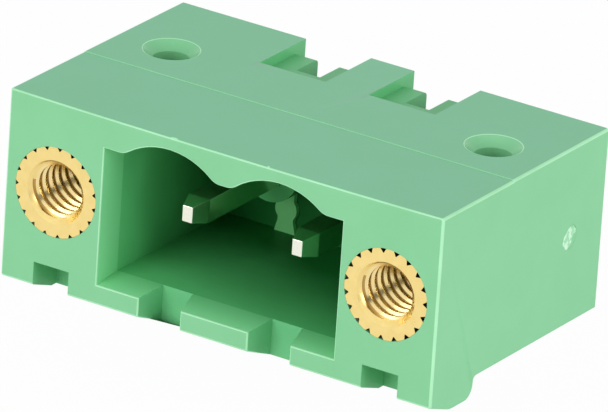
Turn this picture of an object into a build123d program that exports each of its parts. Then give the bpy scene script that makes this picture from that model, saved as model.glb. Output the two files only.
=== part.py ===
from build123d import *
import os
from math import sqrt

# Two-pole right-angle header of a pluggable terminal block, in millimetres.
# Origin: midway between the two solder tails, on the plane of the circuit board.
# +X runs along the row of pins, +Y to the rear of the housing, +Z up from the board.

# Row of poles
pole_pitch = 5.08
pole_count = 2

# Outer body
flange_margin = 2.35        # from the centre of an insert to the side of the body
body_depth = 12.04
body_height = 7.54          # top face above the board
tail_inset = 1.24           # rear face behind the row of solder tails
edge_radius = 0.1           # front and side edges; the rear ones are sharp

# Foot that hangs over the edge of the board
foot_length = 3.05
foot_drop = 0.85            # lowest face of the foot below the board plane
foot_front_drop = 0.37      # lower edge of the front face below the board plane
foot_toe_radius = 0.12      # lower edge of the front face
foot_slope_length = 1.37
foot_heel_radius = 0.55
foot_root_radius = 0.22

# Socket for the plug
jamb_width = 4.47           # side of the body to the mouth of the socket
socket_floor = 0.67         # inner floor above the board plane
socket_shoulder = 6.19      # flat ends of the ceiling above the board plane
web_drop = 0.09             # ceiling between the arches, below the flat ends
arch_rise = 0.73            # crown of each arch above the flat ends
arch_radius = 3.18
arch_blend_radius = 0.7
back_wall = 0.8             # between the socket and the slots for the pins
lead_in_depth = 1.3
lead_in_side = 0.1
lead_in_floor = 0.24

# Coding notches in the front lip, one below each pole
notch_depth = 1.3
notch_front_width = 1.96
notch_back_width = 1.39

# Relief pockets below the inserts
pocket_width = 1.65
pocket_depth = 1.7
pocket_top = 0.6            # above the board plane

# Contact pins
pin_size = 1.0
pin_axis_height = 3.74      # contact axis and insert axis above the board plane
pin_tip_inset = 1.6         # tip of the pin behind the front face
pin_taper_length = 0.8
pin_tip_width = 0.46
pin_tip_height = 0.67
pin_bend_radius = 0.3       # inside of the bend
tail_length = 3.9           # below the board plane
tail_taper_length = 0.6
tail_tip_size = 0.55
pin_hole_clearance = 0.02
pin_slot_clearance = 0.12   # ahead of the bend
pin_side_clearance = 0.05   # beside the upright leg

# Collar round the root of each pin, with a rib below it
collar_radius = 1.3
collar_length = 1.6
rib_head_radius = 0.5
rib_head_drop = 2.09        # centre of the rib's head below the contact axis
rib_waist_width = 0.72
rib_foot_width = 0.98
rib_waist_drop = 2.6
rib_thickness = 0.2

# Shallow channel over the top and down the rear of each pole
channel_width = 3.06
channel_depth = 0.43        # over the top
channel_rear_depth = 0.58   # down the rear
channel_length = 3.34
channel_ramp_length = 0.9
channel_corner_radius = 0.2

# Board fixing hole in each flange
flange_hole_margin = 2.49   # centre to the side of the body
flange_hole_inset = 7.56    # centre behind the front face
flange_hole_radius = 0.75
flange_hole_rim_radius = 1.15
flange_hole_rim_angle = 90

# Mark of the moulding gate, a shallow round recess on the right side, level with the contacts
gate_inset = 2.44           # centre to the rear face
gate_radius = 0.53
gate_depth = 0.06

# Threaded inserts
insert_radius = 1.86
insert_length = 5.5
insert_groove_count = 19
insert_groove_depth = 0.15
insert_waist_radius = 1.55
insert_waist_length = 1.1
insert_bore_radius = 1.05
insert_mouth_radius = 1.3
insert_seat_clearance = 0.02
insert_end_clearance = 0.1

match_tolerance = 0.01      # for picking edges and corners by their place

# Places that follow from the sizes above
insert_x = (pole_count + 1) * pole_pitch / 2
body_width = 2 * (insert_x + flange_margin)
pole_xs = [(i - (pole_count - 1) / 2) * pole_pitch for i in range(pole_count)]
rear_y = tail_inset
front_y = rear_y - body_depth
slot_front_y = -pin_size / 2 - pin_bend_radius - pin_slot_clearance
socket_back_y = slot_front_y - back_wall
socket_width = body_width - 2 * jamb_width
socket_crown = socket_shoulder + arch_rise
web_height = socket_shoulder - web_drop
slot_width = pin_size + 2 * pin_side_clearance
pin_tip_y = front_y + pin_tip_inset
full_height = body_height + foot_drop
insert_sides = {"left": -1, "right": 1}


def edges_along(part, axis, x=None, y=None, z=None):
    """Straight edges along an axis whose centres lie at the given coordinates."""
    found = part.edges().filter_by(axis)
    for value, pick in ((x, "X"), (y, "Y"), (z, "Z")):
        if value is not None:
            found = found.filter_by(lambda e: abs(getattr(e.center(), pick) - value) < match_tolerance)
    return found


def draw_socket_box(width, floor):
    """Socket outline without its arches: a box whose ceiling is higher at both ends."""
    with Locations((0, (floor + web_height) / 2)):
        Rectangle(width, web_height - floor)
    end_length = width / 2 - pole_xs[-1]
    with Locations(*[(side * (width - end_length) / 2, (floor + socket_shoulder) / 2) for side in (-1, 1)]):
        Rectangle(end_length, socket_shoulder - floor)


# Housing
with BuildPart() as housing:
    # Side outline of the body with its foot, drawn in the YZ plane
    with BuildSketch(Plane.YZ) as side_outline:
        with BuildLine():
            Polyline(
                (front_y, body_height),
                (front_y, -foot_front_drop),
                (front_y + foot_slope_length, -foot_drop),
                (front_y + foot_length, -foot_drop),
                (front_y + foot_length, 0),
                (rear_y, 0),
                (rear_y, body_height),
                close=True,
            )
        make_face()
        heel = side_outline.vertices().group_by(Axis.Y)[0].sort_by(Axis.X)[-1]
        fillet(heel, foot_heel_radius)
        toe = side_outline.vertices().filter_by(lambda v: abs(v.Y + foot_front_drop) < match_tolerance)
        fillet(toe, foot_toe_radius)
        seat_row = side_outline.vertices().filter_by(lambda v: abs(v.Y) < match_tolerance)
        fillet(seat_row.sort_by(Axis.X)[0], foot_root_radius)
    extrude(amount=body_width / 2, both=True)

    # Rounded outer edges
    rim = edges_along(housing.part, Axis.X, y=front_y, z=body_height)
    for side in (-1, 1):
        rim += edges_along(housing.part, Axis.Y, x=side * body_width / 2, z=body_height)
        rim += edges_along(housing.part, Axis.Z, x=side * body_width / 2, y=front_y)
    fillet(rim, edge_radius)

    # Socket with one arch over each pole
    inner_width = socket_width - 2 * lead_in_side
    with BuildSketch(Plane.XZ.offset(-socket_back_y)) as socket_outline:
        with Locations(*[(x, socket_crown - arch_radius) for x in pole_xs]):
            Circle(arch_radius)
        with Locations((0, socket_crown)):
            Rectangle(socket_width, 2 * (socket_crown - web_height), mode=Mode.INTERSECT)
        draw_socket_box(inner_width, socket_floor)
        corners = socket_outline.vertices()
        shoulder_row = corners.filter_by(lambda v: abs(v.Y - socket_shoulder) < match_tolerance)
        web_row = corners.filter_by(lambda v: abs(v.Y - web_height) < match_tolerance)
        fillet(shoulder_row.sort_by(Axis.X)[1:-1] + web_row, arch_blend_radius)
    extrude(amount=socket_back_y - front_y, mode=Mode.SUBTRACT)

    # Lead-in at the mouth, on the floor and both side walls
    with BuildSketch(Plane.XZ.offset(-(front_y + lead_in_depth))):
        draw_socket_box(inner_width, socket_floor)
    with BuildSketch(Plane.XZ.offset(-front_y)):
        draw_socket_box(socket_width, socket_floor - lead_in_floor)
    loft(mode=Mode.SUBTRACT)

    # Coding notches through the front lip
    with BuildSketch(Plane.XY.offset(-foot_drop)):
        notch_half_front = notch_front_width / 2
        notch_half_back = notch_back_width / 2
        with Locations(*[(x, front_y) for x in pole_xs]):
            Polygon(
                (-notch_half_front, 0),
                (notch_half_front, 0),
                (notch_half_back, notch_depth),
                (-notch_half_back, notch_depth),
                align=None,
            )
    extrude(amount=foot_drop + socket_floor, mode=Mode.SUBTRACT)

    # Relief pockets in the foot below the inserts
    with BuildSketch(Plane.XY.offset(-foot_drop)):
        with Locations(*[(side * insert_x, front_y + pocket_depth / 2) for side in (-1, 1)]):
            Rectangle(pocket_width, pocket_depth)
    extrude(amount=foot_drop + pocket_top, mode=Mode.SUBTRACT)

    # Collars round the roots of the pins, each with a waisted rib down to the floor
    with BuildSketch(Plane.XZ.offset(-socket_back_y)):
        with Locations(*[(x, pin_axis_height) for x in pole_xs]):
            Circle(collar_radius)
    extrude(amount=collar_length)
    rib_waist_height = pin_axis_height - rib_waist_drop
    with BuildSketch(Plane.XZ.offset(-socket_back_y)):
        with Locations(*[(x, 0) for x in pole_xs]):
            Polygon(
                (-rib_foot_width / 2, socket_floor),
                (rib_foot_width / 2, socket_floor),
                (rib_waist_width / 2, rib_waist_height),
                (rib_waist_width / 2, pin_axis_height),
                (-rib_waist_width / 2, pin_axis_height),
                (-rib_waist_width / 2, rib_waist_height),
                align=None,
            )
        with Locations(*[(x, pin_axis_height - rib_head_drop) for x in pole_xs]):
            Circle(rib_head_radius)
    extrude(amount=rib_thickness)

    # Shallow channels over the top and down the rear
    channel_floor = body_height - channel_depth
    ramp_start_y = rear_y - channel_length
    for x in pole_xs:
        with BuildSketch(Plane.YZ.offset(x)):
            with BuildLine():
                Polyline(
                    (ramp_start_y, body_height),
                    (ramp_start_y + channel_ramp_length, channel_floor),
                    (rear_y - channel_rear_depth, channel_floor),
                    (rear_y - channel_rear_depth, 0),
                    (rear_y, 0),
                    (rear_y, body_height),
                    close=True,
                )
            make_face()
        extrude(amount=channel_width / 2, both=True, mode=Mode.SUBTRACT)
    channel_corner = edges_along(housing.part, Axis.X, y=rear_y - channel_rear_depth, z=channel_floor)
    fillet(channel_corner, channel_corner_radius)

    # Deep slots for the upright legs of the pins
    with BuildSketch(Plane.XY):
        with Locations(*[(x, (slot_front_y + rear_y) / 2) for x in pole_xs]):
            Rectangle(slot_width, rear_y - slot_front_y)
    extrude(amount=body_height, mode=Mode.SUBTRACT)

    # Square holes for the pins, through the rear wall and the collars
    with BuildSketch(Plane.XZ.offset(-slot_front_y)):
        with Locations(*[(x, pin_axis_height) for x in pole_xs]):
            Rectangle(pin_size + 2 * pin_hole_clearance, pin_size + 2 * pin_hole_clearance)
    extrude(amount=back_wall + collar_length, mode=Mode.SUBTRACT)

    # Seats for the threaded inserts
    with BuildSketch(Plane.XZ.offset(-front_y)):
        with Locations(*[(side * insert_x, pin_axis_height) for side in (-1, 1)]):
            Circle(insert_radius + insert_seat_clearance)
    extrude(amount=-(insert_length + insert_end_clearance), mode=Mode.SUBTRACT)

    # Board fixing holes, countersunk at the top
    flange_hole_x = body_width / 2 - flange_hole_margin
    flange_hole_y = front_y + flange_hole_inset
    with Locations(*[(side * flange_hole_x, flange_hole_y, body_height) for side in (-1, 1)]):
        CounterSinkHole(
            flange_hole_radius,
            flange_hole_rim_radius,
            depth=full_height,
            counter_sink_angle=flange_hole_rim_angle,
        )

    # Gate mark
    with BuildSketch(Plane.YZ.offset(body_width / 2)):
        with Locations((rear_y - gate_inset, pin_axis_height)):
            Circle(gate_radius)
    extrude(amount=-gate_depth, mode=Mode.SUBTRACT)

housing.part.label = "housing"


# Threaded inserts, knurled brass, flush with the front face
def make_insert(x):
    with BuildPart() as insert:
        with BuildSketch(Plane.XZ.offset(-front_y)):
            with Locations((x, pin_axis_height)):
                Circle(insert_radius)
                with PolarLocations(insert_radius, insert_groove_count):
                    groove_side = insert_groove_depth * sqrt(2)
                    Rectangle(groove_side, groove_side, rotation=45, mode=Mode.SUBTRACT)
        extrude(amount=-insert_length)
        with BuildSketch(Plane.XZ.offset(-(front_y + insert_length / 2 + insert_waist_length / 2))):
            with Locations((x, pin_axis_height)):
                Circle(insert_radius + insert_groove_depth)
                Circle(insert_waist_radius, mode=Mode.SUBTRACT)
        extrude(amount=insert_waist_length, mode=Mode.SUBTRACT)
        with Locations(Plane((x, front_y, pin_axis_height), z_dir=(0, -1, 0))):
            CounterSinkHole(
                insert_bore_radius,
                insert_mouth_radius,
                depth=insert_length,
                counter_sink_angle=90,
            )
    return insert.part


# Contact pins, square wire bent down behind the rear wall
def make_pin(x):
    half = pin_size / 2
    with BuildPart() as pin:
        with BuildSketch(Plane.YZ.offset(x)) as pin_outline:
            with BuildLine():
                Polyline(
                    (pin_tip_y + pin_taper_length, pin_axis_height - half),
                    (pin_tip_y + pin_taper_length, pin_axis_height + half),
                    (half, pin_axis_height + half),
                    (half, tail_taper_length - tail_length),
                    (-half, tail_taper_length - tail_length),
                    (-half, pin_axis_height - half),
                    close=True,
                )
            make_face()
            bend_row = pin_outline.vertices().filter_by(lambda v: v.X > -half - match_tolerance and v.Y > 0)
            fillet(bend_row.sort_by(Axis.Y)[0], pin_bend_radius)
            bend_row = pin_outline.vertices().group_by(Axis.Y)[-1]
            fillet(bend_row.sort_by(Axis.X)[-1], pin_bend_radius + pin_size)
        extrude(amount=half, both=True)
        with BuildSketch(Plane.XZ.offset(-(pin_tip_y + pin_taper_length))):
            with Locations((x, pin_axis_height)):
                Rectangle(pin_size, pin_size)
        with BuildSketch(Plane.XZ.offset(-pin_tip_y)):
            with Locations((x, pin_axis_height)):
                Rectangle(pin_tip_width, pin_tip_height)
        loft()
        with BuildSketch(Plane.XY.offset(tail_taper_length - tail_length)):
            with Locations((x, 0)):
                Rectangle(pin_size, pin_size)
        with BuildSketch(Plane.XY.offset(-tail_length)):
            with Locations((x, 0)):
                Rectangle(tail_tip_size, tail_tip_size)
        loft()
    return pin.part


pieces = {"housing": housing.part}
for side_name, side in insert_sides.items():
    pieces[f"threaded_insert_{side_name}"] = make_insert(side * insert_x)
for side_name, x in zip(("left", "right"), pole_xs):
    pieces[f"contact_pin_{side_name}"] = make_pin(x)

os.makedirs("parts", exist_ok=True)
for piece_name, piece in pieces.items():
    piece.label = piece_name
    export_step(piece, f"parts/{piece_name}.step")
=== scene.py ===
# %% [markdown]
# # Board header of a pluggable terminal block
#
# The real thing is a green moulded housing with two tin plated pins and two brass threaded
# inserts. A plug pushes into the arched socket, and two screws of the plug go into the inserts.
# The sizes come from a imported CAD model, which is the fixed frame of this scene. Blender adds
# what a solid model leaves out: soft edges, a real thread, knurling and the finish.

# %% Load the frame
import math
import bmesh
import bpy
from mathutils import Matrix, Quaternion, Vector, noise


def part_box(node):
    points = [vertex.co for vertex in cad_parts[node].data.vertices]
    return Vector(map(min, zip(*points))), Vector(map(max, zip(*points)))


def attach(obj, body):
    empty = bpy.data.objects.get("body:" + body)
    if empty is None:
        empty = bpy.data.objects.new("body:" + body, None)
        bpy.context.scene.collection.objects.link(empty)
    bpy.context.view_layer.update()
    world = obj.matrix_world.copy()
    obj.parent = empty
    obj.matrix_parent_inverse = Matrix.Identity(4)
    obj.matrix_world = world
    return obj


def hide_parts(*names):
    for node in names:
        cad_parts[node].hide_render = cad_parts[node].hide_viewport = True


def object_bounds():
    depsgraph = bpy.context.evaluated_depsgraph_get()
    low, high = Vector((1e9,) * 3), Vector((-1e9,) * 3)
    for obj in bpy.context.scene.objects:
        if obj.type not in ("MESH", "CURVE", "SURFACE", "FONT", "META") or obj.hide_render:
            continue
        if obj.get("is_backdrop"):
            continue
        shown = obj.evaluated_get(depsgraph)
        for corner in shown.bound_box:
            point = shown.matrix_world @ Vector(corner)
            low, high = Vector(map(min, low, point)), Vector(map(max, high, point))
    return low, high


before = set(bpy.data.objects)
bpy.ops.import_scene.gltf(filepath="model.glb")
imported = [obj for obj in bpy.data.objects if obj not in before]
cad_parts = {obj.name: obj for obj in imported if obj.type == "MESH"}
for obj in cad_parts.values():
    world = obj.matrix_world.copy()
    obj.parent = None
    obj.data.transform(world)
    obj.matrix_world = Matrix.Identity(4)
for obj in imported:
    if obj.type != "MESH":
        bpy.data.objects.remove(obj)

mm = 0.001
cad_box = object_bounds()
housing_low, housing_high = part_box("housing")
print("CAD box in mm:", [[round(v / mm, 2) for v in corner] for corner in cad_box])

# %% [markdown]
# ## The camera
#
# The photograph was taken with a long lens from the right and a little above, so parallel edges
# stay nearly parallel. A long lens far away gives that look. A camera could be placed by eye, but
# an azimuth, an elevation and a small roll are easier to correct one at a time.

# %% Camera
photo_azimuth = 31.456
photo_elevation = 22.435
photo_roll = math.radians(3.854)
camera_distance = 415.68 * mm
camera_aim = Vector((0.067, -4.831, 3.439)) * mm
camera_lens = 631.5
camera_sensor = 36
camera_near = 10 * mm


def direction_to(azimuth, elevation):
    """Direction from the part, in degrees. Azimuth 0 is in front of it and 90 to its right."""
    turn, rise = math.radians(azimuth), math.radians(elevation)
    across, level = math.sin(turn) * math.cos(rise), -math.cos(turn) * math.cos(rise)
    return Vector((across, level, math.sin(rise)))


toward_camera = direction_to(photo_azimuth, photo_elevation)
camera = bpy.data.objects.new("camera", bpy.data.cameras.new("camera"))
camera.data.lens = camera_lens
camera.data.sensor_width = camera_sensor
camera.data.clip_start = camera_near
camera.location = camera_aim + toward_camera * camera_distance
camera.rotation_mode = "QUATERNION"
upright = toward_camera.to_track_quat("Z", "Y")
camera.rotation_quaternion = upright @ Quaternion((0, 0, 1), photo_roll)
bpy.context.scene.collection.objects.link(camera)
bpy.context.scene.camera = camera
bpy.context.scene.view_settings.view_transform = "Standard"
print("camera at", [round(v, 4) for v in camera.location])

# %% [markdown]
# ## Floor and world
#
# Such a part is photographed in a white tent, where soft light comes from everywhere. A white
# world does the same here. Rays from the camera and from shiny metal see floor and tent at full
# white, by the Light Path node, so the background is white without more light on the plastic. A
# little of the floor's real shading stays in the mix, because a part without a shadow seems to
# float.

# %% Node helpers


def new_material(name):
    """A material with only its Principled shader and its output."""
    material = bpy.data.materials.new(name)
    material.use_nodes = True
    nodes = material.node_tree.nodes
    nodes.clear()
    output = nodes.new("ShaderNodeOutputMaterial")
    shader = nodes.new("ShaderNodeBsdfPrincipled")
    material.node_tree.links.new(shader.outputs["BSDF"], output.inputs["Surface"])
    return material, shader


def add_math(tree, operation, first, second=None, third=None):
    """A math node fed by sockets or plain numbers. Returns its output."""
    node = tree.nodes.new("ShaderNodeMath")
    node.operation = operation
    for slot, value in enumerate((first, second, third)):
        if value is None:
            continue
        if isinstance(value, (int, float)):
            node.inputs[slot].default_value = value
        else:
            tree.links.new(value, node.inputs[slot])
    return node.outputs[0]


def add_seen_mask(tree, share):
    """A share for rays from the camera, off shiny metal and through clear things, else 0."""
    path = tree.nodes.new("ShaderNodeLightPath")
    seen = add_math(tree, "MAXIMUM", path.outputs["Is Camera Ray"], path.outputs["Is Glossy Ray"])
    seen = add_math(tree, "MAXIMUM", seen, path.outputs["Is Transmission Ray"])
    return add_math(tree, "MULTIPLY", seen, share)


print("node helpers ready")

# %% Object helpers


def add_object(name, mesh):
    """An object for a mesh, in the scene."""
    thing = bpy.data.objects.new(name, mesh)
    bpy.context.scene.collection.objects.link(thing)
    return thing


def add_sheet(name, width, length, level=0.0):
    """A flat rectangle that faces up, at a level."""
    x, y = width / 2, length / 2
    corners = [(-x, -y, level), (x, -y, level), (x, y, level), (-x, y, level)]
    mesh = bpy.data.meshes.new(name)
    mesh.from_pydata(corners, [], [(0, 1, 2, 3)])
    return add_object(name, mesh)


print("object helpers ready")

# %% Floor
floor_size = 600 * mm
floor_white = 0.97
floor_roughness = 0.9
floor_seen_white = 0.965


def make_floor():
    """A large white sheet below the tips of the solder tails."""
    floor = add_sheet("floor", floor_size, floor_size, cad_box[0].z)
    material, shader = new_material("white_sheet")
    shader.inputs["Base Color"].default_value = (floor_white, floor_white, floor_white, 1)
    shader.inputs["Roughness"].default_value = floor_roughness
    shader.inputs["Specular IOR Level"].default_value = 0.0
    tree = material.node_tree
    glow = tree.nodes.new("ShaderNodeEmission")
    mix = tree.nodes.new("ShaderNodeMixShader")
    tree.links.new(add_seen_mask(tree, floor_seen_white), mix.inputs["Fac"])
    tree.links.new(shader.outputs["BSDF"], mix.inputs[1])
    tree.links.new(glow.outputs["Emission"], mix.inputs[2])
    tree.links.new(mix.outputs["Shader"], tree.get_output_node("ALL").inputs["Surface"])
    floor.data.materials.append(material)
    floor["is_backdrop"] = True


make_floor()
print("floor at z =", round(cad_box[0].z / mm, 2), "mm")

# %% World
tent_level = 0.55
tent_colour = (0.96, 0.99, 1.0, 1.0)


def make_world():
    """A white tent: full white where it is seen or mirrored, softer as light on the part."""
    world = bpy.data.worlds.new("tent")
    world.use_nodes = True
    bpy.context.scene.world = world
    tree = world.node_tree
    tree.nodes.clear()
    output = tree.nodes.new("ShaderNodeOutputWorld")
    mix = tree.nodes.new("ShaderNodeMixShader")
    light = tree.nodes.new("ShaderNodeBackground")
    light.inputs["Color"].default_value = tent_colour
    light.inputs["Strength"].default_value = tent_level
    seen = tree.nodes.new("ShaderNodeBackground")
    seen.inputs["Color"].default_value = (1, 1, 1, 1)
    tree.links.new(add_seen_mask(tree, 1.0), mix.inputs["Fac"])
    tree.links.new(light.outputs[0], mix.inputs[1])
    tree.links.new(seen.outputs[0], mix.inputs[2])
    tree.links.new(mix.outputs[0], output.inputs["Surface"])


make_world()
print("tent lights the part at", tent_level)

# %% [markdown]
# ## Lamps and a grey card
#
# Two soft lamps, one at the left front and one at the right, give the faces their different
# tones. In a tent all of white, metal would mirror only white and look like paper. Photographers
# hold up a grey card, so that metal has something dark to show. The card here does the same: it
# takes part in reflections only, and neither the camera nor the light on the plastic knows of it.

# %% Grey card
object_middle = (cad_box[0] + cad_box[1]) / 2
card_azimuth, card_elevation = 34, 5
card_distance = 450 * mm
card_width, card_height = 330 * mm, 110 * mm
card_grey = 0.18


def place_facing(thing, azimuth, elevation, distance):
    """Puts a thing at a distance, its Z axis away from the part, so that a lamp shines at it."""
    toward = direction_to(azimuth, elevation)
    thing.location = object_middle + toward * distance
    thing.rotation_mode = "QUATERNION"
    thing.rotation_quaternion = toward.to_track_quat("Z", "Y")


def add_grey_card():
    """A grey card that is seen only in reflections."""
    card = add_sheet("dark_card", card_width, card_height)
    material, shader = new_material("grey_card")
    shader.inputs["Base Color"].default_value = (card_grey, card_grey, card_grey, 1)
    shader.inputs["Roughness"].default_value = 1.0
    card.data.materials.append(material)
    place_facing(card, card_azimuth, card_elevation, card_distance)
    card.visible_camera = False
    card.visible_diffuse = False
    card.visible_shadow = False
    card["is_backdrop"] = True


add_grey_card()
print("grey card at azimuth", card_azimuth)

# %% Lamps
lamp_distance = 300 * mm
lamp_size = 160 * mm
lamps = {"key_lamp": (-20, 20, 0.42), "side_lamp": (85, 15, 0.40)}


def add_lamp(name, azimuth, elevation, level):
    """A square soft lamp aimed at the part. A white sheet facing it would show its level."""
    lamp = bpy.data.lights.new(name, "AREA")
    lamp.size = lamp_size
    lamp.energy = level * math.pi * math.pi * lamp_distance ** 2
    thing = bpy.data.objects.new(name, lamp)
    place_facing(thing, azimuth, elevation, lamp_distance)
    bpy.context.scene.collection.objects.link(thing)


for lamp_name, lamp_values in lamps.items():
    add_lamp(lamp_name, *lamp_values)
print("lamps:", list(lamps))

# %% [markdown]
# ## Shared finishes
#
# The edges of turned or drawn metal catch light, so all metals get a painted highlight on their
# edges from an edge mask, shared as a node group. It compares the true normal with one that is
# rounded over a small radius. Every finish shares a fine grain with slow waves below it, which
# could be an image, but noise in object space has no seams.

# %% Groups and noise


def new_group(name, inputs, outputs):
    """A shader node group with named value sockets."""
    group = bpy.data.node_groups.new(name, "ShaderNodeTree")
    for label, kind, default in inputs:
        socket = group.interface.new_socket(label, in_out="INPUT", socket_type=kind)
        socket.default_value = default
    for label, kind in outputs:
        group.interface.new_socket(label, in_out="OUTPUT", socket_type=kind)
    entry = group.nodes.new("NodeGroupInput")
    leave = group.nodes.new("NodeGroupOutput")
    return group, entry, leave


def add_noise(tree, scale, detail=2.0, stretch=(1, 1, 1)):
    """Noise in object space, with scale cells in a millimetre along an axis of stretch 1."""
    place = tree.nodes.new("ShaderNodeTexCoord")
    size = tree.nodes.new("ShaderNodeMapping")
    size.inputs["Scale"].default_value = [s / mm for s in stretch]
    texture = tree.nodes.new("ShaderNodeTexNoise")
    texture.inputs["Scale"].default_value = scale
    texture.inputs["Detail"].default_value = detail
    tree.links.new(place.outputs["Object"], size.inputs["Vector"])
    tree.links.new(size.outputs["Vector"], texture.inputs["Vector"])
    return texture.outputs["Fac"]


def place_group(tree, group, **values):
    """A group node with its inputs set by name."""
    node = tree.nodes.new("ShaderNodeGroup")
    node.node_tree = group
    for label, value in values.items():
        node.inputs[label].default_value = value
    return node


print("group helpers ready")

# %% Edge mask
edge_samples = 6
edge_break_scale = 2.5
edge_break_least = 0.5


def make_edge_group():
    """Edge: 1 on rounded edges and 0 on flats, broken up by noise."""
    group, entry, leave = new_group(
        "edge_light",
        [("Radius", "NodeSocketFloat", 0.0001), ("Width", "NodeSocketFloat", 0.3)],
        [("Edge", "NodeSocketFloat")],
    )
    rounded = group.nodes.new("ShaderNodeBevel")
    rounded.samples = edge_samples
    group.links.new(entry.outputs["Radius"], rounded.inputs["Radius"])
    surface = group.nodes.new("ShaderNodeNewGeometry")
    compare = group.nodes.new("ShaderNodeVectorMath")
    compare.operation = "DOT_PRODUCT"
    group.links.new(rounded.outputs["Normal"], compare.inputs[0])
    group.links.new(surface.outputs["Normal"], compare.inputs[1])
    turned = add_math(group, "SUBTRACT", 1.0, compare.outputs["Value"])
    scaled = add_math(group, "DIVIDE", turned, entry.outputs["Width"])
    breaks = add_math(group, "ADD", add_noise(group, edge_break_scale), edge_break_least)
    broken = add_math(group, "MULTIPLY", scaled, breaks)
    group.links.new(add_math(group, "MINIMUM", broken, 1.0), leave.inputs["Edge"])
    return group


edge_light = make_edge_group()
print("made", edge_light.name)

# %% Grain
grain_scale, grain_detail = 14.0, 3.0
wave_scale, wave_detail = 0.45, 2.0


def make_grain_group():
    """Height and Tone: fine noise of a moulded or plated skin, with slow waves below it."""
    group, entry, leave = new_group(
        "fine_grain",
        [("Fine", "NodeSocketFloat", 0.5), ("Waves", "NodeSocketFloat", 0.5)],
        [("Height", "NodeSocketFloat"), ("Tone", "NodeSocketFloat")],
    )
    fine = add_noise(group, grain_scale, grain_detail)
    waves = add_noise(group, wave_scale, wave_detail)
    fine_part = add_math(group, "MULTIPLY", fine, entry.outputs["Fine"])
    wave_part = add_math(group, "MULTIPLY", waves, entry.outputs["Waves"])
    group.links.new(add_math(group, "ADD", fine_part, wave_part), leave.inputs["Height"])
    group.links.new(waves, leave.inputs["Tone"])
    return group


fine_grain = make_grain_group()
print("made", fine_grain.name)

# %% Colour and bump helpers


def add_blend(tree, factor, first, second):
    """A mix of two colours by a factor. Returns its colour output."""
    node = tree.nodes.new("ShaderNodeMix")
    node.data_type = "RGBA"
    tree.links.new(factor, node.inputs["Factor"])
    for slot, value in ((6, first), (7, second)):   # 6 and 7 are the colour sockets A and B
        if isinstance(value, tuple):
            node.inputs[slot].default_value = (*value, 1)
        else:
            tree.links.new(value, node.inputs[slot])
    return node.outputs[2]


def add_range(tree, value, low, high):
    """A 0 to 1 value spread over a new range."""
    return add_math(tree, "MULTIPLY_ADD", value, high - low, low)


def add_bump(tree, height, distance, strength):
    """A Bump node on a height. Returns its normal."""
    node = tree.nodes.new("ShaderNodeBump")
    node.inputs["Distance"].default_value = distance
    node.inputs["Strength"].default_value = strength
    tree.links.new(height, node.inputs["Height"])
    return node.outputs["Normal"]


print("finish helpers ready")

# %% [markdown]
# ## Green plastic
#
# The housing is one moulded polyester shell, satin and a little uneven in tone. It looks pale on
# its outer faces, but deep green inside the socket, where it mirrors only itself. One function
# makes all its finishes. A fade along Y paints shade into the socket, deeper further in and on
# the right, and into the lip of its mouth. Painted shade also darkens the recesses and the top,
# while the collars and ribs at the back of the socket get painted light. The rounded edges get
# a paler green as a painted highlight, and a lower roughness because handling and the mould's
# parting lines polish them. One material could do it all with masks, but a finish for each
# place is easier to read and to bake.

# %% Greens
plastic_deep = (0.205, 0.575, 0.278)
plastic_pale = (0.250, 0.630, 0.334)
# Rounded edges: a paler green as a painted highlight; their lower roughness is the polish of wear.
edge_highlight_deep = (0.300, 0.720, 0.375)
edge_highlight_pale = (0.520, 0.940, 0.600)
torn_deep = (0.290, 0.670, 0.370)
torn_pale = (0.430, 0.800, 0.500)
crest_deep = (0.500, 0.860, 0.560)
crest_pale = (0.740, 0.980, 0.780)
# Painted shade: the top is a darker, bluer green than the front, as less light falls from above.
top_shade_deep = (0.170, 0.545, 0.285)
top_shade_pale = (0.215, 0.590, 0.345)
# Painted shade: the lip of the mouth darkens from the first green at the front to the second
# inside.
lip_shade_front = (0.270, 0.800, 0.370)
lip_shade_back = (0.205, 0.710, 0.300)
# Painted shade: the socket darkens from the first green behind the lip to the second at its back.
socket_shade_front = (0.135, 0.600, 0.220)
socket_shade_back = (0.010, 0.160, 0.028)
# Painted light: the collars are lighter than the painted shade of the socket around them.
collar_lit_deep = (0.080, 0.420, 0.140)
collar_lit_pale = (0.130, 0.520, 0.190)
# Painted light: the ribs below the collars get a green brighter than even the outer faces.
rib_lit_deep = (0.215, 0.730, 0.255)
rib_lit_pale = (0.280, 0.820, 0.330)
# Painted shade: faces in notches, pockets and channels get a darker, deeper green.
recess_shade_deep = (0.125, 0.500, 0.200)
recess_shade_pale = (0.165, 0.560, 0.250)
print("greens from", socket_shade_back, "to", crest_pale)

# %% Plastic function
plastic_fine, plastic_waves = 0.35, 0.65
plastic_bump = 0.02 * mm
fade_mottle = 0.2


def add_fade(tree, start, end, tilt):
    """0 at one depth along Y and 1 at another, in metres, reached sooner on the right by a tilt."""
    place = tree.nodes.new("ShaderNodeTexCoord")
    depth = tree.nodes.new("ShaderNodeVectorMath")
    depth.operation = "DOT_PRODUCT"
    depth.inputs[1].default_value = (tilt, 1, 0)
    fade = tree.nodes.new("ShaderNodeMapRange")
    fade.inputs["From Min"].default_value = start
    fade.inputs["From Max"].default_value = end
    tree.links.new(place.outputs["Object"], depth.inputs[0])
    tree.links.new(depth.outputs["Value"], fade.inputs["Value"])
    return fade.outputs["Result"]


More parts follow.
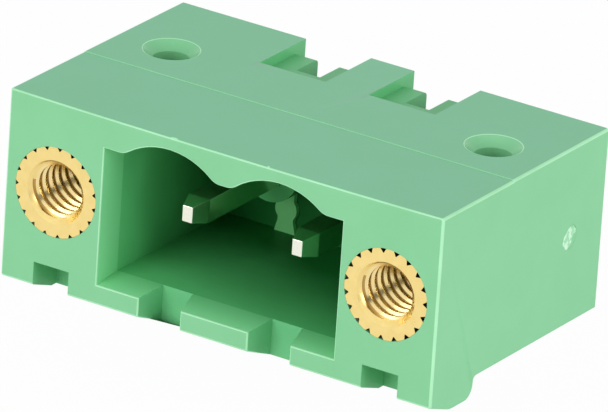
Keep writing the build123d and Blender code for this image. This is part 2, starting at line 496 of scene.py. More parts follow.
def make_plastic(name, deep, pale, smooth, rough, gloss=0.5, grain_height=0.35, fade=None):
    """A moulded finish between two greens, mottled, or faded from pale to deep along Y as painted
    shade.
    """
    material, shader = new_material(name)
    tree = material.node_tree
    grain = place_group(tree, fine_grain, Fine=plastic_fine, Waves=plastic_waves)
    height, tone = grain.outputs["Height"], grain.outputs["Tone"]
    if fade:
        dark = add_math(tree, "MULTIPLY_ADD", tone, fade_mottle, add_fade(tree, *fade))
        body = add_blend(tree, add_math(tree, "SUBTRACT", dark, fade_mottle / 2), pale, deep)
    else:
        body = add_blend(tree, tone, deep, pale)
    tree.links.new(body, shader.inputs["Base Color"])
    tree.links.new(add_range(tree, height, smooth, rough), shader.inputs["Roughness"])
    bumped = add_bump(tree, height, plastic_bump, grain_height)
    tree.links.new(bumped, shader.inputs["Normal"])
    shader.inputs["Specular IOR Level"].default_value = gloss
    return material


print("grain of the plastic is at most", round(plastic_bump / mm, 3), "mm high")

# %% Housing finishes
front_y = housing_low.y
lead_in_y = front_y + 1.3 * mm
socket_back_y = -1.72 * mm
# Painted shade: darker deeper in the socket, and sooner on its right, away from the key lamp.
socket_shade_fade = (lead_in_y, lead_in_y + 5.7 * mm, 0.25)
lip_shade_fade = (front_y, lead_in_y, 0)

green_plastic = make_plastic("green_plastic", plastic_deep, plastic_pale, 0.36, 0.52)
worn_and_highlit_edges = make_plastic("worn_and_highlit_edges", edge_highlight_deep, edge_highlight_pale, 0.24, 0.40)
torn_plastic = make_plastic("torn_plastic", torn_deep, torn_pale, 0.45, 0.75, grain_height=0.9)
torn_crests = make_plastic("torn_crests", crest_deep, crest_pale, 0.35, 0.60, grain_height=0.9)
socket_shaded_plastic = make_plastic(
    "socket_shaded_plastic", socket_shade_back, socket_shade_front, 0.40, 0.55, gloss=0.2, fade=socket_shade_fade
)
collar_lit_plastic = make_plastic("collar_lit_plastic", collar_lit_deep, collar_lit_pale, 0.36, 0.5, gloss=0.3)
rib_lit_plastic = make_plastic("rib_lit_plastic", rib_lit_deep, rib_lit_pale, 0.36, 0.5, gloss=0.3)
lip_shaded_plastic = make_plastic("lip_shaded_plastic", lip_shade_back, lip_shade_front, 0.40, 0.55, gloss=0.3, fade=lip_shade_fade)
top_shaded_plastic = make_plastic("top_shaded_plastic", top_shade_deep, top_shade_pale, 0.36, 0.50)
recess_shaded_plastic = make_plastic("recess_shaded_plastic", recess_shade_deep, recess_shade_pale, 0.36, 0.50, gloss=0.3)
# The countersink cones blend the painted recess shade with the outer green.
cone_plastic = make_plastic("cone_plastic", recess_shade_pale, plastic_pale, 0.16, 0.26, gloss=0.6)
# The parting step blends the outer green with the painted edge highlight.
parting_highlit_plastic = make_plastic("parting_highlit_plastic", plastic_pale, edge_highlight_deep, 0.30, 0.45)

housing_finishes = [
    green_plastic, worn_and_highlit_edges, socket_shaded_plastic, collar_lit_plastic, rib_lit_plastic,
    lip_shaded_plastic, top_shaded_plastic, recess_shaded_plastic, cone_plastic, parting_highlit_plastic,
]
(
    outer_skin, worn_highlit_skin, socket_shade_skin, collar_lit_skin, rib_lit_skin,
    lip_shade_skin, top_shade_skin, recess_shade_skin, cone_skin, parting_highlit_skin,
) = range(len(housing_finishes))
scar_finishes = [green_plastic, torn_plastic, torn_crests]
filled_skin, torn_skin, crest_skin = range(len(scar_finishes))
print("plastics:", [m.name for m in housing_finishes + scar_finishes[1:]])

# %% [markdown]
# ## Brass and tin
#
# The inserts are turned brass, bright but not polished, and the pins are drawn wire with a tin
# plate. The thread's crests and flanks get a paler brass as a painted highlight, with a lower
# roughness for the tap's cut, its roots a brown brass as painted shade, and the narrow knurl
# grooves a nearly black brass as painted shade. So there are four brasses.

# %% Metals
brass_bright = (0.95, 0.75, 0.31)
brass_dull = (0.88, 0.67, 0.24)
# Painted shade: the knurl grooves get a nearly black brass.
shaded_bright = (0.10, 0.06, 0.02)
shaded_dull = (0.03, 0.02, 0.01)
# Painted highlight: the thread's crests and flanks get a paler brass for the light they catch.
cut_highlight_bright = (0.97, 0.82, 0.44)
cut_highlight_dull = (0.86, 0.64, 0.24)
# Painted shade: the roots of the thread get a brown brass for the shade between the crests.
root_shade_bright = (0.62, 0.40, 0.12)
root_shade_dull = (0.42, 0.25, 0.07)
tin_bright = (0.93, 0.93, 0.78)
tin_dull = (0.82, 0.83, 0.71)
metal_fine, metal_waves = 0.6, 0.4
metal_bump = 0.01 * mm
metal_edge_radius, metal_edge_width = 0.04 * mm, 0.4
streak_scale, streak_detail = 3.0, 3.0
round_bore, along_bore, along_wire = (1, 4, 1), (4, 1, 4), (6, 0.6, 6)


def make_metal(name, bright, dull, smooth, rough, stretch, grain_height=0.3):
    """A metal with streaks along one axis and a painted highlight on its edges."""
    material, shader = new_material(name)
    tree = material.node_tree
    grain = place_group(tree, fine_grain, Fine=metal_fine, Waves=metal_waves)
    edge = place_group(tree, edge_light, Radius=metal_edge_radius, Width=metal_edge_width)
    streaks = add_noise(tree, streak_scale, streak_detail, stretch)
    body = add_blend(tree, streaks, dull, bright)
    # Painted highlight: the edge mask blends the metal towards its bright colour on rounded edges.
    body = add_blend(tree, edge.outputs["Edge"], body, bright)
    tree.links.new(body, shader.inputs["Base Color"])
    tree.links.new(add_range(tree, streaks, smooth, rough), shader.inputs["Roughness"])
    bumped = add_bump(tree, grain.outputs["Height"], metal_bump, grain_height)
    tree.links.new(bumped, shader.inputs["Normal"])
    shader.inputs["Metallic"].default_value = 1.0
    return material


turned_brass = make_metal("turned_brass", brass_bright, brass_dull, 0.22, 0.38, round_bore)
cut_and_highlit_brass = make_metal("cut_and_highlit_brass", cut_highlight_bright, cut_highlight_dull, 0.14, 0.26, round_bore, 0.1)
root_shaded_brass = make_metal("root_shaded_brass", root_shade_bright, root_shade_dull, 0.24, 0.38, round_bore, 0.1)
shaded_brass = make_metal("shaded_brass", shaded_bright, shaded_dull, 0.45, 0.60, along_bore)
tin_plate = make_metal("tin_plate", tin_bright, tin_dull, 0.16, 0.28, along_wire, 0.05)
insert_finishes = [turned_brass, cut_and_highlit_brass, shaded_brass, root_shaded_brass]
turned_face, cut_highlit_face, shaded_face, root_shade_face = range(len(insert_finishes))
print("metals:", [m.name for m in (*insert_finishes, tin_plate)])

# %% [markdown]
# ## Soft edges on copies of the CAD
#
# The housing comes from a steel mould, so no edge of it is a true knife edge. The CAD faces are
# copied, welded into whole faces, and every sharp edge is rounded by a narrow bevel. A bevel
# modifier could do this too, but here each rounded face also gets the worn finish, with its
# painted highlight, as it is made.
# The CAD node itself stays as it is, and the finished piece is shown in its place.

# %% Welded copy
weld_distance = 0.0001 * mm
flat_angle = math.radians(0.5)
sharp_angle = math.radians(35)


def welded_copy(node_name):
    """The mesh of a CAD node with its triangles joined into whole faces."""
    shape = bmesh.new()
    shape.from_mesh(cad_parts[node_name].data)
    bmesh.ops.remove_doubles(shape, verts=shape.verts, dist=weld_distance)
    bmesh.ops.dissolve_limit(
        shape, angle_limit=flat_angle, verts=shape.verts, edges=shape.edges
    )
    for face in shape.faces:
        face.material_index = 0
    return shape


print("faces within", round(math.degrees(flat_angle), 1), "degrees of each other are joined")

# %% Rounded edges
inner_share = 0.6


def bevel(shape, edges, radius, segments):
    """Rounds edges with a bevel. Returns the faces that it made."""
    made = bmesh.ops.bevel(
        shape, geom=edges, offset=radius, segments=segments, profile=0.5, affect="EDGES",
        clamp_overlap=True,
    )
    return made["faces"]


def round_edges(shape, radius, finish, keep=None, sharpest=sharp_angle):
    """Bevels the sharp outer corners, which get a finish of their own, then the inner ones."""
    for convex, width, segments in ((True, radius, 2), (False, radius * inner_share, 1)):
        sharp = [
            e for e in shape.edges
            if e.is_manifold and e.is_convex == convex and e.calc_face_angle(0) > sharpest
            and not (keep and keep(e))
        ]
        made = bevel(shape, sharp, width, segments)
        if convex:
            for face in made:
                face.material_index = finish


def keep_in_box(shape, node_name):
    """Pulls back the few corners that a bevel pushes out of the node's box."""
    low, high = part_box(node_name)
    for vert in shape.verts:
        vert.co = [min(max(c, a), b) for c, a, b in zip(vert.co, low, high)]


print("inner corners get", inner_share, "of the outer radius")

# %% [markdown]
# ## Clean shading
#
# A smooth shaded mesh takes its normals from all faces at a corner, so a narrow bevel bends the
# shading of the big flat face beside it. Blender's Weighted Normal modifier counts each polygon
# by its own area, and a flat face that is cut into small polygons would still get smudges. So the
# normals are worked out here: each face counts with the area of the whole flat region that it
# belongs to.

# %% Corner normals


def flat_areas(shape):
    """For each face, the area of the whole flat region that it belongs to."""
    areas = {}
    for start in shape.faces:
        if start in areas:
            continue
        region, queue = {start}, [start]
        while queue:
            for edge in queue.pop().edges:
                for other in edge.link_faces:
                    level = other.normal.dot(start.normal) > math.cos(flat_angle)
                    if level and other not in region and other not in areas:
                        region.add(other)
                        queue.append(other)
        total = sum(face.calc_area() for face in region)
        areas.update({face: total for face in region})
    return areas


def faces_round(vert, face):
    """The faces that share a corner with a face and meet it without a sharp edge or a wide turn."""
    fan, queue = {face}, [face]
    while queue:
        for edge in queue.pop().edges:
            if vert not in edge.verts or not edge.is_manifold:
                continue
            if edge.calc_face_angle(0) > sharp_angle:
                continue
            for other in edge.link_faces:
                if other not in fan and other.normal.dot(face.normal) > math.cos(sharp_angle):
                    fan.add(other)
                    queue.append(other)
    return fan


def corner_normals(shape):
    """A normal for each corner of each face, smooth over soft edges, true on large flat faces."""
    areas = flat_areas(shape)
    normals = []
    for face in shape.faces:
        for vert in face.verts:
            total = Vector((0, 0, 0))
            for other in faces_round(vert, face):
                total += other.normal * areas[other]
            normals.append(total.normalized())
    return normals


print("shading breaks above", round(math.degrees(sharp_angle)), "degrees")

# %% Pieces from shapes


def finish_mesh(shape, name, finishes):
    """Turns a shape into a smooth shaded mesh with its finishes, and frees the shape."""
    mesh = bpy.data.meshes.new(name)
    shape.to_mesh(mesh)
    shape.free()
    for finish in finishes:
        mesh.materials.append(finish)
    mesh.shade_smooth()
    return mesh


def count_open_edges(shape):
    """How many edges don't lie between exactly two faces."""
    return sum(not e.is_manifold for e in shape.edges)


def finish_copy(shape, piece_name, node_name, finishes):
    """Turns a shape into a piece that stands for a CAD node."""
    keep_in_box(shape, node_name)
    shape.normal_update()
    open_edges = count_open_edges(shape)
    normals = corner_normals(shape)
    mesh = finish_mesh(shape, piece_name, finishes)
    mesh.normals_split_custom_set(normals)
    piece = add_object(piece_name, mesh)
    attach(piece, "root")
    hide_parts(node_name)
    print(piece_name, "has", len(mesh.polygons), "faces and", open_edges, "open edges")


print("piece helpers ready")

# %% [markdown]
# ## Housing
#
# The mould parts along a line across the top, which leaves a tiny step, and the front sags a
# little in the middle as the plastic cools. Both could be drawn in CAD, but they are faults and
# no design, so they are cut and pushed into the copy here. The mouth of the socket and the
# countersinks are touched most, so their rims are rounded wider than the rest.

# %% Parting step and sag
parting_y = -5.7 * mm
parting_step = 0.025 * mm
parting_width = 0.02 * mm
front_sag = 0.075 * mm
outer_round = 0.1 * mm
round_slack = 1.01
sag_cuts = 14
sag_floor_z = 7.05 * mm
top_z = housing_high.z
half_width = housing_high.x


def cut_outer(shape, place, direction, lowest):
    """Cuts the top and the front face along a plane, where a face's middle is high enough."""
    outer = []
    for face in shape.faces:
        middle = face.calc_center_bounds()
        outside = middle.z > top_z - outer_round or middle.y < front_y + outer_round
        if middle.z > lowest and outside:
            outer.append(face)
    edges = {e for f in outer for e in f.edges}
    verts = {v for f in outer for v in f.verts}
    bmesh.ops.bisect_plane(
        shape, geom=[*outer, *edges, *verts], plane_co=place, plane_no=direction
    )


def sag_depth(x, forward):
    """How far the top sinks at a width and at a share of the way from the step to the front."""
    bow = 1 - (x / half_width) ** 2
    return parting_step + front_sag * bow * forward ** 2


def sag_top(shape):
    """Lowers the top in front of the parting line by a step and by a bow, deepest mid-front."""
    cut_outer(shape, (0, 0, sag_floor_z), (0, 0, 1), 0)
    for y in (parting_y, parting_y - parting_width):
        cut_outer(shape, (0, y, 0), (0, 1, 0), sag_floor_z)
    for i in range(1, sag_cuts):
        cut_x = (2 * i / sag_cuts - 1) * half_width
        cut_outer(shape, (cut_x, 0, 0), (1, 0, 0), sag_floor_z)
    moved = 0
    for vert in shape.verts:
        below_top = vert.co.z < top_z - outer_round * round_slack
        if below_top or vert.co.y > parting_y - parting_width / 2:
            continue
        vert.co.z -= sag_depth(vert.co.x, (parting_y - vert.co.y) / (parting_y - front_y))
        moved += 1
    return moved


print("the top sinks by up to", round(sag_depth(0, 1) / mm, 3), "mm")

# %% Places on the housing
near = 0.01 * mm
pole_x = 2.54 * mm
insert_x = 7.62 * mm
pin_axis_z = 3.74 * mm
mouth_half_width = 5.52 * mm
mouth_low_z, mouth_high_z = 0.42 * mm, 7.0 * mm
collar_reach = 1.03 * (1.3 * mm)   # a little over the radius of a collar
collar_front_y = socket_back_y - 1.6 * mm
rib_half_width = 0.52 * mm
rib_front_y = socket_back_y - 0.2 * mm
hole_x, hole_y = 7.48 * mm, -3.24 * mm
hole_rim_radius = 1.15 * mm
front_rim_height = 2.5 * outer_round
top_rim_height = 2 * outer_round

# Boxes of the right half, which hold for the left half too
recesses = {
    "coding notch": (Vector((1.50, -10.69, -0.86)) * mm, Vector((3.58, -9.47, 0.66)) * mm),
    "foot pocket": (Vector((6.75, -10.69, -0.86)) * mm, Vector((8.50, -9.05, 0.63)) * mm),
    "channel on top": (Vector((0.95, -2.15, 7.00)) * mm, Vector((4.13, 1.25, 7.50)) * mm),
    "channel at rear": (Vector((0.95, -1.00, -0.01)) * mm, Vector((4.13, 1.25, 7.10)) * mm),
}
print("recesses:", list(recesses))

# %% Finish of each face
flat_normal = 0.98
rim_top_normal = 0.92
rim_front_normal = 0.35
cone_low_normal, cone_high_normal = 0.1, 0.9


def outer_finish(face, middle):
    """The finish of a face at the front or on top, or None if the place doesn't decide it."""
    # Painted highlight: only the front rim's facets between top and front get it, as a thin line.
    if middle.y < front_y + outer_round and abs(face.normal.y) < flat_normal:
        inside_x = abs(middle.x) < half_width - outer_round
        on_top_edge = middle.z > top_z - front_rim_height and inside_x
        if on_top_edge and face.normal.z > rim_top_normal:
            return top_shade_skin
        return outer_skin if on_top_edge and face.normal.z < rim_front_normal else worn_highlit_skin
    on_top = middle.z > top_z - top_rim_height
    if on_top and middle.y < socket_back_y and face.normal.z < flat_normal:
        if abs(middle.x) > half_width - outer_round:
            return worn_highlit_skin
        if abs(middle.y - parting_y) < parting_width:
            return parting_highlit_skin
    return top_shade_skin if on_top and face.normal.z > flat_normal else None


def socket_finish(middle):
    """The finish of a face within the mouth's outline, or None outside the socket."""
    if front_y + outer_round < middle.y < lead_in_y - near:
        return lip_shade_skin
    if not lead_in_y - near < middle.y < socket_back_y + near:
        return None
    from_pole = abs(abs(middle.x) - pole_x)
    from_axis = math.hypot(from_pole, middle.z - pin_axis_z)
    # Collars and ribs get a painted light of their own, the rest of the socket the painted shade.
    if from_axis < collar_reach and middle.y > collar_front_y - near:
        return collar_lit_skin
    before_wall = rib_front_y - near < middle.y < socket_back_y - near
    if from_pole < rib_half_width and before_wall and middle.z < pin_axis_z:
        return rib_lit_skin
    return socket_shade_skin


def in_recess(middle):
    """True for a point in one of the recesses, on either side."""
    mirrored = (abs(middle.x), middle.y, middle.z)
    return any(
        all(a < m < b for a, m, b in zip(low, mirrored, high)) for low, high in recesses.values()
    )


def place_finish(face):
    """The number of a face's finish, by where the face lies."""
    middle = face.calc_center_bounds()
    # Faces in recesses get painted shade, and their rounded rims keep the painted edge highlight.
    if in_recess(middle):
        return worn_highlit_skin if face.material_index == worn_highlit_skin else recess_shade_skin
    from_hole = math.hypot(abs(middle.x) - hole_x, middle.y - hole_y)
    if from_hole < hole_rim_radius and cone_low_normal < face.normal.z < cone_high_normal:
        return cone_skin
    finish = outer_finish(face, middle)
    if finish is None:
        in_mouth = abs(middle.x) <= mouth_half_width and mouth_low_z < middle.z < mouth_high_z
        finish = socket_finish(middle) if in_mouth else None
    return face.material_index if finish is None else finish


print("finishes follow the place of each face")

# %% Rims
housing_round = 0.045 * mm
mouth_round = 0.1 * mm
hole_round = 0.7 * mouth_round
rim_segments = 3
lip_low_z, toe_low_z = -0.2 * mm, -0.5 * mm
toe_reach = 0.13 * mm
notch_half_width = 0.98 * mm
notch_margin = 0.06 * mm
hole_margin = 5 * near
seat_radius = 1.88 * mm
seat_margin = 0.05 * mm
gate_middle = Vector((half_width, -1.2 * mm, pin_axis_z))
gate_radius = 0.53 * mm


def edge_middle(edge):
    """The point halfway along an edge."""
    return (edge.verts[0].co + edge.verts[1].co) / 2


def keeps_sharp(edge):
    """True for the rims of the insert seats and of the gate mark."""
    middle = edge_middle(edge)
    from_insert = math.hypot(abs(middle.x) - insert_x, middle.z - pin_axis_z)
    on_seat = from_insert < seat_radius + seat_margin and middle.z > 0
    return on_seat or (middle - gate_middle).length < gate_radius + seat_margin


def on_mouth_rim(edge, middle):
    """True for the front edges of the socket's mouth and for the arcs at the notches' toes."""
    across = abs(edge.verts[0].co.y - edge.verts[1].co.y) < weld_distance
    in_front = across and edge.is_convex and abs(middle.y - front_y) < near
    if in_front and abs(middle.x) < mouth_half_width and lip_low_z < middle.z < mouth_high_z:
        return True
    from_pole = abs(abs(middle.x) - pole_x)
    on_notch = notch_half_width - notch_margin < from_pole < notch_half_width + near
    at_toe = middle.y < front_y + toe_reach and toe_low_z < middle.z < lip_low_z
    return on_notch and at_toe and edge.is_convex and edge.calc_face_angle(0) > sharp_angle


def round_rims(shape):
    """Gives the socket's mouth and the rims of the countersinks a wider bevel than the rest."""
    mouth, holes = [], []
    for edge in shape.edges:
        middle = edge_middle(edge)
        if on_mouth_rim(edge, middle):
            mouth.append(edge)
        from_hole = math.hypot(abs(middle.x) - hole_x, middle.y - hole_y)
        if abs(from_hole - hole_rim_radius) < hole_margin and middle.z > top_z - near:
            holes.append(edge)
    for rim, radius in ((mouth, mouth_round), (holes, hole_round)):
        rim = [edge for edge in rim if edge.is_valid]
        for face in bevel(shape, rim, radius, rim_segments):
            face.material_index = worn_highlit_skin
    return len(mouth) + len(holes)


print("rims get", round(mouth_round / mm, 3), "and", round(hole_round / mm, 3), "mm")

# %% Housing piece
housing_shape = welded_copy("housing")
print("wide bevel on", round_rims(housing_shape), "rim edges")
print("parting step and sag move", sag_top(housing_shape), "corners")
round_edges(housing_shape, housing_round, worn_highlit_skin, keeps_sharp)
for shell_face in housing_shape.faces:
    shell_face.material_index = place_finish(shell_face)
finish_copy(housing_shape, "moulded_housing", "housing", housing_finishes)

# %% [markdown]
# ## Gate scar
#
# The plastic flows into the mould through a gate on the right side. When the runner is broken
# off, it leaves a torn, whitish patch. It could be sculpted, but a disc of rings with noise on it
# is the same on each run. The disc fills the round recess nearly flush. Within a slanted oval,
# Blender's noise function tears its points up and down, always below the face, and the highest
# ones get the whitish finish.

# %% Height of the scar
gate_recess_depth = 0.06 * mm
scar_flush = 0.004 * mm
tear_turn = math.radians(52)
tear_long, tear_short = 0.56 * mm, 0.36 * mm
tear_grain, tear_fine = 0.22 * mm, 0.09 * mm
tear_ragged = 0.35
tear_steepness = 5
tear_mean, tear_coarse_part, tear_fine_part = 0.5, 0.9, 0.3


def tear_share(dy, dz):
    """1 in the middle of the torn oval and 0 at its edge and outside."""
    along = dy * math.cos(tear_turn) + dz * math.sin(tear_turn)
    across = dz * math.cos(tear_turn) - dy * math.sin(tear_turn)
    ragged = noise.noise(Vector((dy, dz, mm)) / tear_grain) * tear_ragged
    return max(0.0, 1 - math.hypot(along / tear_long, across / tear_short) - ragged)


def tear_height(dy, dz):
    """Height of the torn plastic from 0, deep, to 1, level with the face."""
    coarse = noise.noise(Vector((dy, dz, 0)) / tear_grain)
    fine = noise.noise(Vector((dy, dz, 0)) / tear_fine)
    height = tear_mean + tear_coarse_part * coarse + tear_fine_part * fine
    return max(0.0, min(1.0, height))


def scar_depth(dy, dz):
    """How far below the side face a point of the scar lies."""
    share = min(1.0, tear_steepness * tear_share(dy, dz))
    span = gate_recess_depth - 2 * scar_flush
    return scar_flush + span * share * (1 - tear_height(dy, dz))


print("depth in the scar's middle:", round(scar_depth(0, 0) / mm, 3), "mm")

# %% Scar piece
scar_rings = 24
scar_spokes = 72
scar_fill = 0.99
torn_limit = 0.05
crest_limit = 0.55


def scar_finish(face):
    """The number of a face's finish: filled, torn, or the crest of a tear."""
    offset = face.calc_center_median() - gate_middle
    if tear_share(offset.y, offset.z) <= torn_limit:
        return filled_skin
    return crest_skin if tear_height(offset.y, offset.z) > crest_limit else torn_skin


def make_gate_scar():
    """The filled recess of the gate with its torn patch."""
    shape = bmesh.new()
    x, y, z = gate_middle
    rings = []
    for ring in range(1, scar_rings + 1):
        radius = gate_radius * scar_fill * ring / scar_rings
        row = []
        for spoke in range(scar_spokes):
            angle = 2 * math.pi * spoke / scar_spokes
            dy, dz = radius * math.cos(angle), radius * math.sin(angle)
            row.append(shape.verts.new((x - scar_depth(dy, dz), y + dy, z + dz)))
        rings.append(row)
    middle = shape.verts.new((x - scar_depth(0, 0), y, z))
    base = [shape.verts.new((x - gate_recess_depth, v.co.y, v.co.z)) for v in rings[-1]]
    for i in range(scar_spokes):
        k = (i + 1) % scar_spokes
        shape.faces.new((middle, rings[0][i], rings[0][k]))
        for inner, outer in zip(rings, [*rings[1:], base]):
            shape.faces.new((inner[i], outer[i], outer[k], inner[k]))
    shape.faces.new(base)
    for face in shape.faces:
        face.material_index = scar_finish(face)
    bmesh.ops.recalc_face_normals(shape, faces=shape.faces)
    mesh = finish_mesh(shape, "gate_scar", scar_finishes)
    mesh.set_sharp_from_angle(angle=sharp_angle)
    piece = add_object("gate_scar", mesh)
    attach(piece, "root")
    print("gate_scar has", len(mesh.polygons), "faces")


make_gate_scar()

# %% [markdown]
# ## Burrs on the front edge
#
# Two tiny flakes of plastic stand on the front top edge, where the mould halves met. They could
# be painted, but the photograph shows them in outline. They are squashed spheres sunk into the
# sagging edge, and they stay below the highest point of the housing.

# %% Burrs
burr_inset = 0.08 * mm
burr_noise_scale = 2
burr_least, burr_swing = 0.75, 0.5
burrs = {
    "edge_burr_left": (-2.36 * mm, (0.20 * mm, 0.05 * mm, 0.040 * mm)),
    "edge_burr_right": (1.97 * mm, (0.07 * mm, 0.04 * mm, 0.045 * mm)),
}


def make_burr(name, x, size):
    """A ragged flake on the front top edge."""
    shape = bmesh.new()
    bmesh.ops.create_icosphere(shape, subdivisions=3, radius=1)
    place = Vector((x, front_y + burr_inset, top_z - sag_depth(x, 1)))
    for vert in shape.verts:
        ragged = burr_least + burr_swing * noise.noise(vert.co * burr_noise_scale + place / mm)
        vert.co = place + Vector([c * s * ragged for c, s in zip(vert.co, size)])
    # The burrs take the worn edge finish with its painted highlight.
    mesh = finish_mesh(shape, name, [worn_and_highlit_edges])
    piece = add_object(name, mesh)
    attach(piece, "root")
    print(name, "reaches", round(max(v.co.z for v in mesh.vertices) / mm, 3), "mm")


for burr_name, (burr_x, burr_size) in burrs.items():
    make_burr(burr_name, burr_x, burr_size)

# %% [markdown]
# ## Contact pins
#
# The pins are square drawn wire with a bright tin plate, bent down behind the rear wall. They
# need no new shape, only soft edges. The edges of the tapered tips are flat, so a lower limit of
# the angle lets the bevel reach them too.

# %% Pins
pin_round = 0.04 * mm
taper_angle = math.radians(9)
for side in ("left", "right"):
    pin_shape = welded_copy(f"contact_pin_{side}")
    round_edges(pin_shape, pin_round, 0, sharpest=taper_angle)
    finish_copy(pin_shape, f"square_pin_{side}", f"contact_pin_{side}", [tin_plate])

# %% [markdown]
# ## Threaded inserts
#
# Each insert is a turned brass bush with nineteen knurl grooves, pressed into the plastic. Its
# outside is a lathe outline spun round its axis, with each ring pulled in where a groove runs.
# The thread is a real helix. It could be a bump, but the photograph looks into the bore, where
# the crests hide each other. A grid is wrapped on the bore, and its rows climb by one pitch in a
# turn.

# %% Insert sizes
insert_radius = 1.877 * mm
insert_length = 5.5 * mm
mouth_radius = 1.32 * mm
bore_radius = 1.05 * mm
countersink = mouth_radius - bore_radius
thread_pitch = 0.45 * mm
thread_depth = 0.22 * mm
waist_radius = 1.55 * mm
waist_length = 1.1 * mm
waist_start = (insert_length - waist_length) / 2
waist_end = insert_length - waist_start
groove_count = 19
groove_pitch = 2 * math.pi / groove_count
knurl_round = 0.012 * mm
front_groove_share = 1.35
rear_groove_share = 2

# Middle, phase of the grooves, their depth and half their angle
inserts = {
    "left": (-insert_x, math.radians(11.3), 0.15 * mm, math.radians(3.1)),
    "right": (insert_x, math.radians(2.5), 0.20 * mm, math.radians(3.9)),
}
print("thread:", math.ceil(insert_length / thread_pitch), "turns in", insert_length / mm, "mm")

# %% Knurl grooves
groove_steps = [-1.25, -1.0, -0.15, 0.15, 1.0, 1.25]
groove_span = groove_steps[-1] - groove_steps[0]
land_parts = 4


def insert_angles(phase, groove_half_angle):
    """Angles round the insert, with close ones at each groove."""
    spare = groove_pitch - groove_span * groove_half_angle
    angles = []
    for groove in range(groove_count):
        centre = groove * groove_pitch + phase
        groove_angles = [centre + step * groove_half_angle for step in groove_steps]
        land = [groove_angles[-1] + spare * k / land_parts for k in range(1, land_parts)]
        angles += groove_angles + land
    return angles


def groove_share(angle, phase, groove_half_angle):
    """Share of the full groove depth that is cut into the rim at an angle."""
    off = (angle - phase + groove_pitch / 2) % groove_pitch - groove_pitch / 2
    return max(0.0, 1 - abs(off) / groove_half_angle)


def insert_point(centre_x, angle, radius, depth):
    """A point at an angle and a radius round the insert's axis, at a depth behind its face."""
    across, up = radius * math.cos(angle), radius * math.sin(angle)
    return (centre_x + across, front_y + depth, pin_axis_z + up)


print(groove_count, "grooves of", len(groove_steps), "columns")

# %% Outside of an insert


def lathe_outline(groove_depth):
    """Radius, depth and share of the groove for each ring, from the rear bore to the front bore."""
    return [
        (mouth_radius, insert_length, 0),
        (insert_radius - rear_groove_share * groove_depth, insert_length, 0),
        (insert_radius - knurl_round, insert_length, 1),
        (insert_radius, insert_length - knurl_round, 1),
        (insert_radius, waist_end, 1),
        (waist_radius, waist_end, 0),
        (waist_radius, waist_start, 0),
        (insert_radius, waist_start, 1),
        (insert_radius, knurl_round, 1),
        (insert_radius - knurl_round, 0, 1),
        (insert_radius - front_groove_share * groove_depth, 0, 0),
        (mouth_radius, 0, 0),
    ]


def add_outside(shape, centre_x, angles, cuts, groove_depth):
    """The faces and the knurled rim of an insert, with the grooves in a painted shade of their own.
    """
    outline = lathe_outline(groove_depth)
    rings = []
    for radius, depth, knurl in outline:
        rings.append([
            shape.verts.new(insert_point(centre_x, angle, radius - cut * knurl, depth))
            for angle, cut in zip(angles, cuts)
        ])
    for row, (first, second) in enumerate(zip(rings, rings[1:])):
        knurled = outline[row][2] and outline[row + 1][2]
        for i in range(len(angles)):
            k = (i + 1) % len(angles)
            face = shape.faces.new((first[i], first[k], second[k], second[i]))
            in_groove = cuts[i] + cuts[k] > 0
            face.material_index = shaded_face if in_groove and knurled else turned_face


print("outline has", len(lathe_outline(0)), "rings")

# %% Thread of an insert

# Share of the pitch and of the depth for the steps of one turn, where depth 1 is the root:
# root, flank, crest, flank
thread_steps = [
    (0, 1), (1 / 16, 1), (1 / 8, 1), (9 / 32, 0.5),
    (7 / 16, 0.02), (9 / 16, 0), (11 / 16, 0.02), (27 / 32, 0.5),
]
shaded_root_steps = (0, 1, 2, 7)   # numbers of the steps that start a face of painted shade


def thread_column(shape, centre_x, angle, turned, rows):
    """The corners of the thread at one angle, which lies a share of a turn past the first."""
    column = []
    for place, depth in rows:
        s = min(max((place + turned) * thread_pitch, 0), insert_length)
        r = bore_radius + thread_depth * depth
        r = max(r, mouth_radius - s, mouth_radius - (insert_length - s))
        column.append(shape.verts.new(insert_point(centre_x, angle, r, s)))
    return column


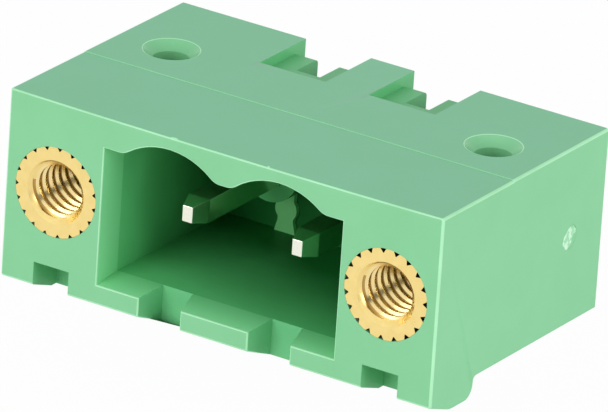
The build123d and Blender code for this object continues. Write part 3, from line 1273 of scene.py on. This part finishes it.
def add_thread(shape, centre_x, angles):
    """The helical bore. Its last column meets the first one a turn further in."""
    turns = math.ceil(insert_length / thread_pitch) + 1
    rows = [(turn + step, depth) for turn in range(-1, turns) for step, depth in thread_steps]
    grid = []
    for angle in angles:
        turned = ((angle - angles[0]) % (2 * math.pi)) / (2 * math.pi)
        grid.append(thread_column(shape, centre_x, angle, turned, rows))
    per_turn = len(thread_steps)
    for i, this in enumerate(grid):
        shift = per_turn if i == len(grid) - 1 else 0
        following = grid[(i + 1) % len(grid)]
        for j in range(len(rows) - 1 - shift):
            corners = (this[j], this[j + 1], following[j + 1 + shift], following[j + shift])
            face = shape.faces.new(corners)
            in_bore = all(vert.co.y - front_y > countersink - near for vert in corners)
            # The thread's roots get painted shade, its crests and flanks a painted highlight.
            bore_face = root_shade_face if j % per_turn in shaded_root_steps else cut_highlit_face
            face.material_index = bore_face if in_bore else turned_face


print("one turn of the thread has", len(thread_steps), "rows")

# %% Insert pieces
insert_weld = 0.001 * mm
shortest_edge = 0.0005 * mm
brass_sharp_angle = math.radians(28)


def make_insert(name, node_name, centre_x, phase, groove_depth, groove_half_angle):
    """A knurled bush with a helical thread, its face flush with the housing."""
    angles = insert_angles(phase, groove_half_angle)
    cuts = [groove_depth * groove_share(angle, phase, groove_half_angle) for angle in angles]
    shape = bmesh.new()
    add_outside(shape, centre_x, angles, cuts, groove_depth)
    add_thread(shape, centre_x, angles)
    bmesh.ops.remove_doubles(shape, verts=shape.verts, dist=insert_weld)
    bmesh.ops.dissolve_degenerate(shape, dist=shortest_edge, edges=shape.edges)
    bmesh.ops.recalc_face_normals(shape, faces=shape.faces)
    open_edges = count_open_edges(shape)
    mesh = finish_mesh(shape, name, insert_finishes)
    mesh.set_sharp_from_angle(angle=brass_sharp_angle)
    piece = add_object(name, mesh)
    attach(piece, "root")
    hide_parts(node_name)
    print(name, "has", len(mesh.polygons), "faces and", open_edges, "open edges")


for side, insert_values in inserts.items():
    make_insert(f"knurled_insert_{side}", f"threaded_insert_{side}", *insert_values)

# %% [markdown]
#
# The looks are meant to stay within the box of the CAD model, so both boxes are printed. They could
# be measured by hand in the viewport.

# %% Sizes and finish
boxes = {"cad": cad_box, "visual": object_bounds()}
sizes = {name: [list(corner) for corner in box] for name, box in boxes.items()}
for box_name, box_corners in sizes.items():
    print(box_name, "box in mm:", [[round(v / mm, 3) for v in corner] for corner in box_corners])
